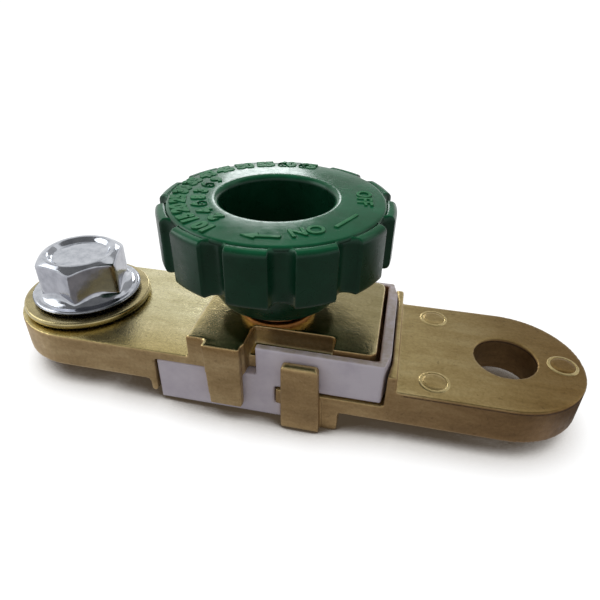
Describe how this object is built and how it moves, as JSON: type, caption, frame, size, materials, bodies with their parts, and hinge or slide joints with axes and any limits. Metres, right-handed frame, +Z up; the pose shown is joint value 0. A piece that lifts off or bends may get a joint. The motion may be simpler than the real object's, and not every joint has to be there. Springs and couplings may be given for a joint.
{
  "type": "battery terminal disconnect switch",
  "caption": "Screw-down battery disconnect switch: brass terminal bar and cable bar, nylon insulator between them, and a green knob that opens and closes the contact.",
  "frame": {"origin": "centre of the bounding box's bottom, under the rib that the switch stands on", "axes": "+X towards the cable end, along the switch's length; +Y towards its back; +Z up, along the knob's axis"},
  "size_m": [0.1094, 0.04, 0.0382],
  "materials": {
    "cast_brass": "sand cast, dull, with brighter rubbed edges",
    "turned_brass": "turned, satin",
    "washer_brass": "stamped, polished",
    "contact_copper": "bare copper, satin",
    "white_nylon": "moulded, natural white",
    "green_plastic": "moulded, glossy",
    "bright_zinc": "bright plated steel"
  },
  "bodies": {
    "bars": {"battery_side_bar": "cast_brass", "cable_side_bar": "cast_brass", "insulator": "white_nylon", "terminal_bolt": "bright_zinc", "terminal_washer": "washer_brass"},
    "contact": {"contact_washer": "contact_copper"},
    "knob": {"knob": "green_plastic", "knob_stud": "turned_brass"}
  },
  "joints": [
    {"name": "knob_lift", "type": "slide", "parent": "bars", "child": "contact", "axis": [0, 0, 1], "range_m": [0, 0.0038]},
    {"name": "knob_turn", "type": "hinge", "parent": "contact", "child": "knob", "pos_m": [-0.0016, 0, 0.0187], "axis": [0, 0, 1], "range_deg": [0, 1080]}
  ],
  "couplings": [
    {"joint": "knob_lift", "follows": "knob_turn", "m_per_rad": 0.00019894}
  ]
}
